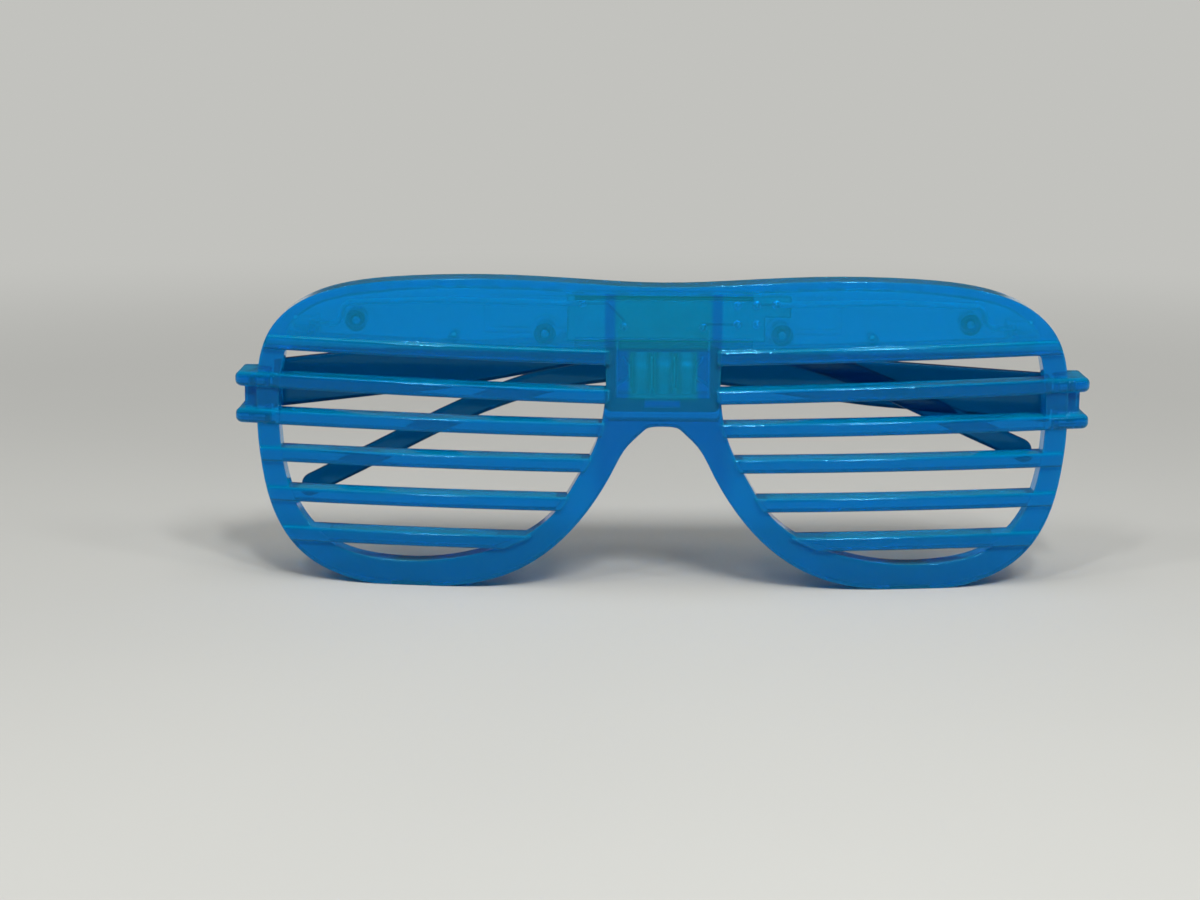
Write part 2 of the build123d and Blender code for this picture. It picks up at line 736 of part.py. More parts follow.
# The battery door, hooked below and screwed above
door_seat = door_back - screw_head_sink
door_half = bridge_half - door_clear
door_plate = block(-door_half, door_half, door_bottom, door_top, bridge_back, door_back)
door_hook = block(-hook_half, hook_half, hook_z - hook_thick / 2, hook_z + hook_thick / 2,
                  bridge_back - hook_reach, bridge_back + door_thick / 2)
door_bore = rod(0, door_screw_z, screw_radius + screw_clear, bridge_back - overrun, door_back + overrun)
door_well = rod(0, door_screw_z, screw_head_radius + head_clear, door_seat, door_back + overrun)
with BuildPart() as battery_door:
    add(door_plate)
    fillet(battery_door.edges().filter_by(Axis.Y).group_by(Axis.Z)[0], platform_corner)
    with BuildSketch(behind(door_back)):
        with Locations((0, door_screw_z)):
            Circle(door_tab_half)
        Polygon((-door_tab_half, door_top - door_thick), (door_tab_half, door_top - door_thick),
                (door_tab_half, door_screw_z), (-door_tab_half, door_screw_z), align=None)
    extrude(amount=door_thick)
    fillet(battery_door.edges().group_by(Axis.Y)[-1], door_thick / 4)
    add(door_hook)
    add(door_bore, mode=Mode.SUBTRACT)
    add(door_well, mode=Mode.SUBTRACT)
battery_door.part.label = "battery_door"
export_step(battery_door.part, "parts/battery_door.step")
battery_door_screw = screw(0, door_screw_z, door_seat, door_thick + platform_wall + boss_radius / 2)
battery_door_screw.label = "battery_door_screw"
export_step(battery_door_screw, "parts/battery_door_screw.step")

# The cells lie across in a row, with a thin link tab in each gap
for number in range(cell_count):
    middle = (number - (cell_count - 1) / 2) * cell_pitch
    can_low = middle - cell_height / 2 + cell_cap_height
    can = across_rod(can_low, middle + cell_height / 2, cell_y, cell_z, cell_radius)
    cap = across_rod(middle - cell_height / 2, can_low, cell_y, cell_z, cell_radius - cell_cap_step)
    with BuildPart() as cell:
        add(can)
        fillet(cell.edges().filter_by(GeomType.CIRCLE), cell_round)
        add(cap)
    cell.part.label = "button_cell_" + str(number + 1)
    export_step(cell.part, "parts/" + cell.part.label + ".step")

tabs = []
for number in range(cell_count - 1):
    middle = (number - (cell_count - 2) / 2) * cell_pitch
    tabs.append(block(middle - tab_thick / 2, middle + tab_thick / 2, cell_z - tab_height / 2,
                      cell_z + tab_height / 2, cell_y - tab_depth / 2, cell_y + tab_depth / 2))
with BuildPart() as cell_link_tabs:
    for one in tabs:
        add(one)
cell_link_tabs.part.label = "cell_link_tabs"
export_step(cell_link_tabs.part, "parts/cell_link_tabs.step")


def contact(hand):
    """A thin plate against the wall of the bay, with a leaf that presses on the end cell."""
    wall = hand * bay_half
    inner = hand * (bay_half - contact_thick)
    touch = hand * (row_end + contact_thick / 2)
    spring_root = hand * (bay_half - contact_thick / 2)
    tip = hand * (row_end + (bay_half - row_end) / 2)
    low = min(wall, inner)
    high = max(wall, inner)
    near_end = cell_y - contact_depth / 2
    deep_end = cell_y + contact_depth / 2
    wall_plate = block(low, high, bay_low + cell_clear, bay_high - cell_clear, near_end, deep_end)
    riser = block(low, high, bay_high - tab_height / 2, contact_top, near_end, board_front)
    with BuildPart() as plate:
        add(wall_plate)
        add(riser)
        with BuildSketch(behind(cell_y + tab_depth / 2)):
            with BuildLine():
                FilletPolyline((spring_root, cell_z - tab_height / 2), (touch, cell_z - contact_depth / 4),
                               (touch, cell_z + contact_depth / 4), (tip, cell_z + tab_height / 2),
                               radius=2 * contact_thick)
            trace(line_width=contact_thick)
        extrude(amount=tab_depth)
    return plate.part


contact_positive = contact(1)
contact_positive.label = "contact_positive"
export_step(contact_positive, "parts/contact_positive.step")
contact_negative = contact(-1)
contact_negative.label = "contact_negative"
export_step(contact_negative, "parts/contact_negative.step")

# The board with its chip, resistors and switch
with BuildPart() as circuit_board:
    with BuildSketch(behind(board_back)):
        Polygon((-board_left, board_low), (board_notch_x, board_low), (board_notch_x, board_notch_z),
                (board_right, board_notch_z), (board_right, board_high), (-board_left, board_high),
                align=None)
    extrude(amount=board_thick)
circuit_board.part.label = "circuit_board"
export_step(circuit_board.part, "parts/circuit_board.step")

with BuildPart() as chip_blob:
    with BuildSketch(behind(board_back + chip_height)):
        with Locations((switch_x - chip_gap, switch_z)):
            Circle(chip_radius)
    extrude(amount=chip_height)
    fillet(chip_blob.edges().sort_by(Axis.Y)[-1], blob_share * chip_height)
chip_blob.part.label = "chip_blob"
export_step(chip_blob.part, "parts/chip_blob.step")

resistor_long, resistor_high, resistor_wide = resistor_size
resistor_boxes = []
resistor_z = switch_z - resistor_drop
for gap in resistor_gaps:
    place = gap - board_left
    resistor_boxes.append(block(place - resistor_long / 2, place + resistor_long / 2,
                                resistor_z - resistor_wide / 2, resistor_z + resistor_wide / 2,
                                board_back, board_back + resistor_high))
with BuildPart() as resistors:
    for one in resistor_boxes:
        add(one)
resistors.part.label = "resistors"
export_step(resistors.part, "parts/resistors.step")

switch_box = block(switch_x - switch_side / 2, switch_x + switch_side / 2, switch_z - switch_side / 2,
                   switch_z + switch_side / 2, board_back, switch_back)
switch_bore = rod(switch_x, switch_z, plunger_radius + plunger_clear,
                  switch_back - plunger_sink - button_travel - plunger_clear, switch_back + overrun)
with BuildPart() as switch_body:
    add(switch_box)
    add(switch_bore, mode=Mode.SUBTRACT)
switch_body.part.label = "switch_body"
export_step(switch_body.part, "parts/switch_body.step")

button_back = platform_back + button_proud
button_cap = rod(switch_x, switch_z, button_radius, flange_back - button_flange_thick, button_back)
button_flange = rod(switch_x, switch_z, button_flange_radius, flange_back - button_flange_thick,
                    flange_back)
button_stem = rod(switch_x, switch_z, plunger_radius, switch_back - plunger_sink, flange_back)
with BuildPart() as push_button:
    add(button_cap)
    fillet(push_button.edges().group_by(Axis.Y)[-1], button_round)
    add(button_flange)
    add(button_stem)
push_button.part.label = "push_button"
export_step(push_button.part, "parts/push_button.step")

# The lamps: domed lens, flange and two leads
led_dome = dome_share * led_radius
lens_run = across_rod(led_x, led_x + led_length, led_y, led_z, led_radius)
flange_run = across_rod(led_x, led_x + led_flange_thick, led_y, led_z, led_flange_radius)
lead_runs = []
for shift in (-lead_pitch / 2, lead_pitch / 2):
    lead_runs.append(block(led_x - lead_length, led_x, led_z - lead_side / 2, led_z + lead_side / 2,
                           led_y + shift - lead_side / 2, led_y + shift + lead_side / 2))
with BuildPart() as led_right:
    add(lens_run)
    fillet(led_right.edges().group_by(Axis.X)[-1], led_dome)
    add(flange_run)
    for one in lead_runs:
        add(one)
led_right.part.label = "led_right"
export_step(led_right.part, "parts/led_right.step")
with BuildPart() as led_left:
    add(mirror(led_right.part, about=Plane.YZ, mode=Mode.PRIVATE))
led_left.part.label = "led_left"
export_step(led_left.part, "parts/led_left.step")


def wire(hand, board_edge, shift, end_depth):
    """One insulated wire from a lamp's lead, along the brow, to a face of the board."""
    lead_end = led_x - lead_length
    wire_lead_x = led_x - wire_lead_gap
    wire_bend_x = led_x - wire_bend_gap
    wire_bend_z = outer_post_z + post_radius + wire_post_clear
    wire_high_x = peg_x + wire_peg_gap
    wire_high_z = board_high - wire_high_drop
    wire_end_z = board_high - wire_end_drop
    bend_y = face_y + front_y(wire_bend_x) + led_depth + shift
    high_y = face_y + front_y(wire_high_x) + led_depth + shift
    start = (hand * lead_end, face_y + led_y + shift, led_z)
    end_y = face_y + end_depth
    with BuildPart() as run:
        with BuildLine():
            FilletPolyline(start, (hand * wire_lead_x, face_y + led_y + shift, led_z),
                           (hand * wire_bend_x, bend_y, wire_bend_z),
                           (hand * wire_high_x, high_y, wire_high_z),
                           (hand * (board_edge + wire_lap), end_y, wire_end_z),
                           (hand * (board_edge - wire_lap), end_y, wire_end_z), radius=wire_bend)
        with BuildSketch(Plane(origin=start, z_dir=(-hand, 0, 0))):
            Circle(wire_radius)
        sweep()
    return run.part


for hand, name, board_edge in ((1, "led_wires_right", board_right), (-1, "led_wires_left", board_left)):
    front_wire = wire(hand, board_edge, -lead_pitch / 2, board_front - wire_radius)
    back_wire = wire(hand, board_edge, lead_pitch / 2, board_back + wire_radius)
    with BuildPart() as wires:
        add(front_wire)
        add(back_wire)
    wires.part.label = name
    export_step(wires.part, "parts/" + name + ".step")

# The temples turn on moulded pins between the ears
hinge_z = (ear_gap_low + ear_gap_high) / 2
tongue_height = ear_gap_high - ear_gap_low - 2 * knuckle_clear
tongue_low = hinge_z - tongue_height / 2


def temple(hand, rise_deg, fold_deg, lift):
    """One temple, folded flat behind the front; hand tells its hinge's side."""
    fold = math.radians(fold_deg)
    rise = math.radians(rise_deg)
    upright = Plane(origin=(hand * hinge_x, face_y + hinge_y, hinge_z),
                    x_dir=(-hand * math.cos(fold), math.sin(fold), 0),
                    z_dir=(math.sin(fold), hand * math.cos(fold), 0))
    half = temple_root_height / 2
    tip_along = temple_length - temple_tip_height / 2
    stations = [(share * temple_length, scale * half) for share, scale in temple_height_shares]
    stations.append((tip_along, temple_tip_height / 2))
    top = [temple_point(along, reach, rise_deg, lift) for along, reach in stations]
    bottom = [temple_point(along, -reach, rise_deg, lift) for along, reach in stations]
    root_top = (temple_root, temple_root * math.tan(rise) + lift + half / math.cos(rise))
    root_bottom = (temple_root, temple_root * math.tan(rise) + lift - half / math.cos(rise))
    tip = temple_point(temple_length, 0, rise_deg, lift)
    end_heading = rise - math.radians(temple_bend_deg)
    first_way = (math.cos(rise), math.sin(rise))
    last_way = (math.cos(end_heading), math.sin(end_heading))
    with BuildPart() as blade:
        with BuildSketch(upright.offset(-hand * temple_gap)):
            with BuildLine():
                Line(root_bottom, root_top)
                Line(root_top, top[0])
                Spline(*top, tangents=[first_way, last_way])
                ThreePointArc(top[-1], tip, bottom[-1])
                Spline(*bottom, tangents=[first_way, last_way])
                Line(bottom[0], root_bottom)
            make_face()
        extrude(amount=hand * temple_thick)
        long_edges = blade.faces().sort_by(Axis.Y)
        fillet(long_edges[0].edges() + long_edges[-1].edges(), temple_round)
    along_plane = Plane(origin=(hand * hinge_x, face_y + hinge_y, tongue_low),
                        x_dir=(-hand * math.cos(fold), math.sin(fold), 0), z_dir=(0, 0, 1))
    with BuildPart() as arm:
        add(blade.part)
        with BuildSketch(along_plane):
            Circle(knuckle_radius)
            near = hand * temple_gap
            far = -hand * (temple_thick - temple_gap)
            reach = temple_root + temple_thick
            Polygon((0, near), (reach, near), (reach, far), (0, far), align=None)
        extrude(amount=tongue_height)
        with BuildSketch(along_plane.offset(-knuckle_clear - pin_length)):
            Circle(pin_radius)
        extrude(amount=tongue_height + 2 * (knuckle_clear + pin_length))
    return arm.part


temple_rows = [(-1, "temple_left", left_rise_deg, left_fold_deg, left_lift),
               (1, "temple_right", right_rise_deg, right_fold_deg, right_lift)]
for hand, name, rise_deg, fold_deg, lift in temple_rows:
    arm = temple(hand, rise_deg, fold_deg, lift)
    arm.label = name
    export_step(arm, "parts/" + name + ".step")
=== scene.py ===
import math

import bmesh
import bpy
from mathutils import Matrix, Vector


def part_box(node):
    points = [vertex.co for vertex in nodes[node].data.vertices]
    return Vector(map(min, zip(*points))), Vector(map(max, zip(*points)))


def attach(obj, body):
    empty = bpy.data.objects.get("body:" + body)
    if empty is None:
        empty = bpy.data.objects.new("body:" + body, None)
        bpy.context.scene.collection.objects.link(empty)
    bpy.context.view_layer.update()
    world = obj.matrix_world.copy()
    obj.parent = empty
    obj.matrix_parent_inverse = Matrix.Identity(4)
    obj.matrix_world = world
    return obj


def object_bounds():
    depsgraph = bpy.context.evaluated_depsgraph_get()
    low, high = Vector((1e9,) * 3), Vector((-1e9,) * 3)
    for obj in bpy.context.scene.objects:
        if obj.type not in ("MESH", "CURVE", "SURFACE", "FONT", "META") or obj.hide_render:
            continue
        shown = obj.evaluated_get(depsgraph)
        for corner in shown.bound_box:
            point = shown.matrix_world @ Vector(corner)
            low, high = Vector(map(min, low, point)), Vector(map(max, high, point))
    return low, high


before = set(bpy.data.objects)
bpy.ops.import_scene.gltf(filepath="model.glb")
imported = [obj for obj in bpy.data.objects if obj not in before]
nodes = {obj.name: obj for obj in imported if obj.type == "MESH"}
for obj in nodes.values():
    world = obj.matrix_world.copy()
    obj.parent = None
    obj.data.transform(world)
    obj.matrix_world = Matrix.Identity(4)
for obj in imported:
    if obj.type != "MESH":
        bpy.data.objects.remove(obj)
cad_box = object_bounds()
MM = 0.001

# What the materials share
noise_detail = 3.0
noise_roughness = 0.55
drift_stops = (0.3, 0.7)         # where along the noise the two tones of a material lie
gloss_finer = 3.1                # the gloss drifts on a finer scale than the colour
bevel_samples = 6
broad_facing = 0.98              # a face turned this far to the front or back counts as broad
narrow_facing = 0.40             # and one turned no further than this as a narrow wall
plastic_index = 1.45
plastic_highlight = (0.22, 0.75, 1.0, 1)
plastic_drift = 60
plastic_gloss_drift = 180
ripple_scale = 500
ripple_height = 0.02 * MM
corner_turn = 0.5                # turn of the normal at which a corner's painted bright line is full


def material(name, colour, **values):
    """A Principled material, its tree and its shader."""
    made = bpy.data.materials.new(name)
    made.use_nodes = True
    tree = made.node_tree
    shader = tree.nodes["Principled BSDF"]
    shader.inputs["Base Color"].default_value = (*colour, 1)
    for key, value in values.items():
        shader.inputs[key.replace("_", " ")].default_value = value
    return made, tree, shader


def noise(tree, scale):
    """Noise in the object's own place, in metres times the scale."""
    place = tree.nodes.new("ShaderNodeTexCoord")
    made = tree.nodes.new("ShaderNodeTexNoise")
    made.inputs["Scale"].default_value = scale
    made.inputs["Detail"].default_value = noise_detail
    made.inputs["Roughness"].default_value = noise_roughness
    tree.links.new(place.outputs["Object"], made.inputs["Vector"])
    return made.outputs["Fac"]


def drift(tree, scale, low, high):
    """A colour that drifts between two tones over the piece."""
    made = tree.nodes.new("ShaderNodeValToRGB")
    for element, place, colour in zip(made.color_ramp.elements, drift_stops, (low, high)):
        element.position = place
        element.color = (*colour, 1)
    tree.links.new(noise(tree, scale), made.inputs["Fac"])
    return made.outputs["Color"]


def spread(tree, source, low, high):
    """The source value, 0 to 1, mapped to a range."""
    made = tree.nodes.new("ShaderNodeMapRange")
    made.inputs["To Min"].default_value = low
    made.inputs["To Max"].default_value = high
    tree.links.new(source, made.inputs["Value"])
    return made.outputs["Result"]


def rounded(tree, radius):
    """The surface's normal with every corner rounded to a radius, as a mould leaves it."""
    made = tree.nodes.new("ShaderNodeBevel")
    made.samples = bevel_samples
    made.inputs["Radius"].default_value = radius
    return made.outputs["Normal"]


def edge_share(tree, radius, full_at):
    """How near a place lies to a corner: 0 on a flat face, 1 at the corner."""
    face = tree.nodes.new("ShaderNodeNewGeometry")
    turn = tree.nodes.new("ShaderNodeVectorMath")
    turn.operation = "DISTANCE"
    tree.links.new(rounded(tree, radius), turn.inputs[0])
    tree.links.new(face.outputs["True Normal"], turn.inputs[1])
    made = tree.nodes.new("ShaderNodeMapRange")
    made.inputs["From Max"].default_value = full_at
    tree.links.new(turn.outputs["Value"], made.inputs["Value"])
    return made.outputs["Result"]


def wall_share(tree, reach):
    """How far a face turns from the front and back: 0 on the broad faces, 1 on the narrow walls."""
    parts = tree.nodes.new("ShaderNodeSeparateXYZ")
    tree.links.new(rounded(tree, reach), parts.inputs["Vector"])
    size = tree.nodes.new("ShaderNodeMath")
    size.operation = "ABSOLUTE"
    tree.links.new(parts.outputs["Y"], size.inputs[0])
    made = tree.nodes.new("ShaderNodeMapRange")
    made.inputs["From Min"].default_value = broad_facing
    made.inputs["From Max"].default_value = narrow_facing
    tree.links.new(size.outputs["Value"], made.inputs["Value"])
    return made.outputs["Result"]


def mixed(tree, share, first, second):
    """Two colours, each a tuple or a socket, mixed by a share."""
    made = tree.nodes.new("ShaderNodeMix")
    made.data_type = "RGBA"
    tree.links.new(share, made.inputs["Factor"])
    for socket, colour in (("A", first), ("B", second)):
        place = next(s for s in made.inputs if s.name == socket and s.type == "RGBA")
        if isinstance(colour, tuple):
            place.default_value = (*colour, 1)
        else:
            tree.links.new(colour, place)
    return next(s for s in made.outputs if s.type == "RGBA")


def combined(tree, operation, first, second):
    """Two values joined by a sum of the named kind."""
    made = tree.nodes.new("ShaderNodeMath")
    made.operation = operation
    tree.links.new(first, made.inputs[0])
    tree.links.new(second, made.inputs[1])
    return made.outputs["Value"]


def varied(name, low, high, scale, rough, edge=None, **values):
    """A material whose colour and gloss drift between two tones.

    edge holds the reach, the sharpness and the colour of its corners.
    """
    made, tree, shader = material(name, low, **values)
    tone = drift(tree, scale, low, high)
    if edge:
        reach, full_at, line = edge
        tone = mixed(tree, edge_share(tree, reach, full_at), tone, line)
    tree.links.new(tone, shader.inputs["Base Color"])
    gloss = spread(tree, noise(tree, scale * gloss_finer), *rough)
    tree.links.new(gloss, shader.inputs["Roughness"])
    return made


def between(tree, value, low, high, soft):
    """1 where a value lies between two limits, falling to 0 over a soft margin outside them."""
    steps = []
    for start, end in ((low - soft, low), (high + soft, high)):
        step = tree.nodes.new("ShaderNodeMapRange")
        step.interpolation_type = "SMOOTHSTEP"
        step.inputs["From Min"].default_value = start
        step.inputs["From Max"].default_value = end
        tree.links.new(value, step.inputs["Value"])
        steps.append(step.outputs["Result"])
    return combined(tree, "MULTIPLY", *steps)


def tinted(name, tones, through, rough, density, absorb, corner, flat=False, zones=()):
    """Dyed clear plastic: partly clear, partly milky, deeper in colour where it is thick.

    tones are its deep and light colours; corner is the rounding's radius, the reach of a painted bright line
    along corners and that line's colour, a painted glow for the light that the plastic carries to its edges,
    which a flat piece has on its narrow walls instead; zones are boxes with a soft margin and a painted
    colour, which stands in for the light and shade seen through the plastic there.
    """
    made, tree, shader = material(name, tones[0], IOR=plastic_index, Transmission_Weight=through,
                                  Specular_Tint=plastic_highlight)
    tone = drift(tree, plastic_drift, *tones)
    radius, reach, line = corner
    if zones:
        place = tree.nodes.new("ShaderNodeTexCoord")
        axes = tree.nodes.new("ShaderNodeSeparateXYZ")
        tree.links.new(place.outputs["Object"], axes.inputs["Vector"])
    # Each zone paints the colour that light and shade through the plastic give that place
    for (low, high), soft, colour in zones:
        inside_x = between(tree, axes.outputs["X"], low.x, high.x, soft)
        inside_z = between(tree, axes.outputs["Z"], low.z, high.z, soft)
        tone = mixed(tree, combined(tree, "MULTIPLY", inside_x, inside_z), tone, colour)
    # Painted light: the line colour, brighter than the tone, is a painted glow on the narrow walls of a flat
    # piece and along the corners of any other
    share = wall_share(tree, reach) if flat else edge_share(tree, reach, corner_turn)
    tree.links.new(mixed(tree, share, tone, line), shader.inputs["Base Color"])
    gloss = spread(tree, noise(tree, plastic_gloss_drift), *rough)
    tree.links.new(gloss, shader.inputs["Roughness"])
    ripple = tree.nodes.new("ShaderNodeBump")
    ripple.inputs["Distance"].default_value = ripple_height
    tree.links.new(noise(tree, ripple_scale), ripple.inputs["Height"])
    tree.links.new(rounded(tree, radius), ripple.inputs["Normal"])
    tree.links.new(ripple.outputs["Normal"], shader.inputs["Normal"])
    depth = tree.nodes.new("ShaderNodeVolumeAbsorption")
    depth.inputs["Color"].default_value = (*absorb, 1)
    depth.inputs["Density"].default_value = density
    tree.links.new(depth.outputs["Volume"], tree.nodes["Material Output"].inputs["Volume"])
    return made


def around(*names):
    """The box around several nodes."""
    boxes = [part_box(name) for name in names]
    low = Vector([min(box[0][axis] for box in boxes) for axis in range(3)])
    high = Vector([max(box[1][axis] for box in boxes) for axis in range(3)])
    return low, high


# Zones of the front, as boxes seen square on, where its plastic lies over something or is hollow; each is
# # painted the colour of the light and shade seen through the plastic there
brow_lift = 2.4 * MM             # the brow's zone starts above its lowest bar
roof_drop = 2.6 * MM             # zones over the nose end this far below the top
bay_lift = 1.0 * MM              # the zone over the bay starts this far above the cells
wall_soft = 0.5 * MM
seam_soft = 0.6 * MM
nose_soft = 3.5 * MM
brow = around("rear_cover")
brow[0].z += brow_lift
cell_row = around("button_cell_1", "button_cell_2", "button_cell_3")
door = around("battery_door")
bay = around("contact_positive", "contact_negative")
roof_z = cad_box[1].z - roof_drop
over_bay = (Vector((bay[0].x, 0, cell_row[1].z + bay_lift)), Vector((bay[1].x, 0, roof_z)))
box_walls = (door[0], Vector((door[1].x, 0, roof_z)))
nose = (Vector((door[0].x, 0, 0)), Vector((door[1].x, 0, door[0].z)))

# Painted light: the narrow walls are painted a bright cyan for the light along the bars' tops and edges; the
# zones are painted lighter over the hollow brow, teal over the board and cells, and deeper blue over the
# box's walls and the nose
blue = tinted(
    "blue_translucent", tones=((0.0, 0.26, 0.65), (0.0, 0.28, 0.71)), through=0.78, rough=(0.05, 0.10),
    density=250, absorb=(0.1, 0.62, 0.95), corner=(0.4 * MM, 0.9 * MM, (0.0, 0.68, 1.0)), flat=True,
    zones=[(nose, nose_soft, (0.0, 0.20, 0.60)), (brow, seam_soft, (0.0, 0.50, 0.92)),
           (box_walls, wall_soft, (0.0, 0.33, 0.84)), (over_bay, wall_soft, (0.0, 0.48, 0.78)),
           (cell_row, seam_soft, (0.0, 0.47, 0.72))])
# Painted highlight: the temples' corners are painted a lighter blue
temple_blue = tinted(
    "blue_temples", tones=((0.0, 0.12, 0.31), (0.0, 0.145, 0.37)), through=0.75, rough=(0.08, 0.14),
    density=150, absorb=(0.1, 0.5, 0.9), corner=(0.4 * MM, 0.7 * MM, (0.0, 0.20, 0.45)))
board_green = varied(
    "green_board", low=(0.22, 0.62, 0.42), high=(0.28, 0.70, 0.48), scale=400, rough=(0.3, 0.45),
    edge=(0.7 * MM, 0.7, (0.05, 0.20, 0.14)))
black_resin = varied(
    "black_resin", low=(0.012, 0.012, 0.014), high=(0.02, 0.02, 0.024), scale=300, rough=(0.15, 0.35))
black_plastic = varied(
    "black_plastic", low=(0.02, 0.02, 0.024), high=(0.035, 0.035, 0.04), scale=300, rough=(0.35, 0.5))
steel = varied(
    "zinc_steel", low=(0.55, 0.55, 0.58), high=(0.68, 0.68, 0.70), scale=500, rough=(0.22, 0.4),
    Metallic=1.0)
# Painted shade: the cells' rims are painted near black, for the shade in the grooves between the stacked
# cells
bright_steel = varied(
    "nickel_steel", low=(0.66, 0.67, 0.68), high=(0.76, 0.77, 0.78), scale=300, rough=(0.38, 0.5),
    edge=(1.6 * MM, 0.25, (0.05, 0.06, 0.07)), Metallic=0.6)
spring_metal = varied(
    "spring_strip", low=(0.62, 0.60, 0.54), high=(0.74, 0.72, 0.66), scale=500, rough=(0.25, 0.4),
    Metallic=1.0)
lamp_clear = varied(
    "lamp_resin", low=(0.80, 0.88, 0.94), high=(0.86, 0.92, 0.97), scale=300, rough=(0.04, 0.1),
    IOR=1.52, Transmission_Weight=0.8)
sleeve = varied(
    "wire_sleeve", low=(0.62, 0.62, 0.65), high=(0.74, 0.74, 0.76), scale=500, rough=(0.4, 0.55))
track_green = varied(
    "masked_tracks", low=(0.06, 0.30, 0.20), high=(0.09, 0.36, 0.24), scale=900, rough=(0.3, 0.45))
solder = varied(
    "solder", low=(0.72, 0.73, 0.74), high=(0.82, 0.83, 0.84), scale=900, rough=(0.18, 0.35),
    Metallic=1.0)

LOOKS = {
    "front_frame": blue, "rear_cover": blue, "battery_door": blue, "push_button": black_plastic,
    "temple_left": temple_blue, "temple_right": temple_blue,
    "cover_screws": steel, "battery_door_screw": steel,
    "button_cell_1": bright_steel, "button_cell_2": bright_steel, "button_cell_3": bright_steel,
    "cell_link_tabs": spring_metal, "contact_positive": spring_metal, "contact_negative": spring_metal,
    "circuit_board": board_green, "chip_blob": black_resin, "resistors": black_plastic,
    "switch_body": black_plastic, "led_left": lamp_clear, "led_right": lamp_clear,
    "led_wires_left": sleeve, "led_wires_right": sleeve,
}
for name, look in LOOKS.items():
    slots = nodes[name].data.materials
    slots.clear()
    slots.append(look)
    for face in nodes[name].data.polygons:
        face.material_index = 0


def piece(name, form, look, bevel=0.0):
    """A piece of the front from a bmesh, its normals outward and its edges broken by any bevel."""
    bmesh.ops.recalc_face_normals(form, faces=form.faces[:])
    mesh = bpy.data.meshes.new(name)
    form.to_mesh(mesh)
    form.free()
    mesh.materials.append(look)
    made = bpy.data.objects.new(name, mesh)
    bpy.context.scene.collection.objects.link(made)
    if bevel:
        edges = made.modifiers.new("edges", "BEVEL")
        edges.width = bevel
        edges.segments = 2
    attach(made, "front")
    return made


def run(form, path, width, low, high):
    """A closed track of even width along a path in X and Z, between two depths."""
    sharpest = 0.5               # a mitre grows to no more than twice the width
    path = [Vector(point) * MM for point in path]
    ways = [(end - start).normalized() for start, end in zip(path, path[1:])]
    left, right = [], []
    for number, point in enumerate(path):
        before = ways[max(number - 1, 0)]
        after = ways[min(number, len(ways) - 1)]
        across = Vector((-(before + after).y, (before + after).x)).normalized()
        reach = width / 2 * MM / max(across.dot(Vector((-after.y, after.x))), sharpest)
        left.append(point + across * reach)
        right.append(point - across * reach)
    rings = [[form.verts.new((p.x, depth, p.y)) for p in left + right[::-1]] for depth in (low, high)]
    count = len(rings[0])
    for number in range(count):
        after = (number + 1) % count
        form.faces.new((rings[0][number], rings[0][after], rings[1][after], rings[1][number]))
    for ring in rings:
        for number in range(len(path) - 1):
            opposite = count - 1 - number
            form.faces.new((ring[number], ring[number + 1], ring[opposite - 1], ring[opposite]))


def turned(form, profile, centre, out, sides=20):
    """A solid turned about the Y axis.

    The profile is pairs of radius and height in mm, and out is 1 or -1, the way that it rises along Y.
    """
    rings = []
    for radius, height in profile:
        ring = []
        for number in range(sides):
            turn = 2 * math.pi * number / sides
            place = Vector((centre[0] + radius * math.cos(turn), centre[1] + out * height,
                            centre[2] + radius * math.sin(turn)))
            ring.append(form.verts.new(place * MM))
        rings.append(ring)
    for low, high in zip(rings, rings[1:]):
        for number in range(sides):
            after = (number + 1) % sides
            form.faces.new((low[number], low[after], high[after], high[number]))
    form.faces.new(rings[0])
    form.faces.new(rings[-1])


def in_mm(name):
    """The two corners of a node's box in mm."""
    return [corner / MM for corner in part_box(name)]


# The board's tracks and solder joints, in mm, placed from the pieces that stand on the board
track_width = 0.45
track_thick = 0.06
pin_inset = 0.5                  # from the switch's corners to its pins
resistor_length = 2.0
wire_drop = 1.5                  # below the board's top to the wires' pads
wire_pad_step = 0.7              # from a wire's end to its pad
top_drop = 0.7                   # below the board's top to the highest tracks
contact_rise = 0.5               # above a contact's top to its pad
contact_dip = 1.0                # below the chip's middle, where the left contact's track turns
pin_step = 1.0                   # from a switch pin to where its track levels out
upper_end = 3.0                  # from the left pad to the end of the highest track
resistor_turn = 0.4              # from the left pad to where the resistors' track turns up
jog_start = 5.5                  # from the right contact to where the track to the chip starts to rise
jog_end = 3.0
pad_turn = 1.2                   # from the right pad to where its track turns down

board = in_mm("circuit_board")
chip = in_mm("chip_blob")
switch = in_mm("switch_body")
resistors = in_mm("resistors")
contact = in_mm("contact_positive")
board_front = board[0].y
board_back = board[1].y
wire_z = board[1].z - wire_drop
top_z = board[1].z - top_drop
row_z = (resistors[0].z + resistors[1].z) / 2
mid_z = (chip[0].z + chip[1].z) / 2
chip_middle = (chip[0].x + chip[1].x) / 2
contact_middle = (contact[0].x + contact[1].x) / 2
contact_pad = (contact_middle, contact[1].z + contact_rise)
far_contact_pad = (-contact_middle, contact_pad[1])
pins = [(x, z) for x in (switch[0].x + pin_inset, switch[1].x - pin_inset)
        for z in (switch[0].z + pin_inset, switch[1].z - pin_inset)]
pad_left = (in_mm("led_wires_left")[1].x + wire_pad_step, wire_z)
pad_right = (in_mm("led_wires_right")[0].x - wire_pad_step, wire_z)
resistor_ends = [(resistors[0].x, row_z), (resistors[0].x + resistor_length, row_z),
                 (resistors[1].x - resistor_length, row_z), (resistors[1].x, row_z)]

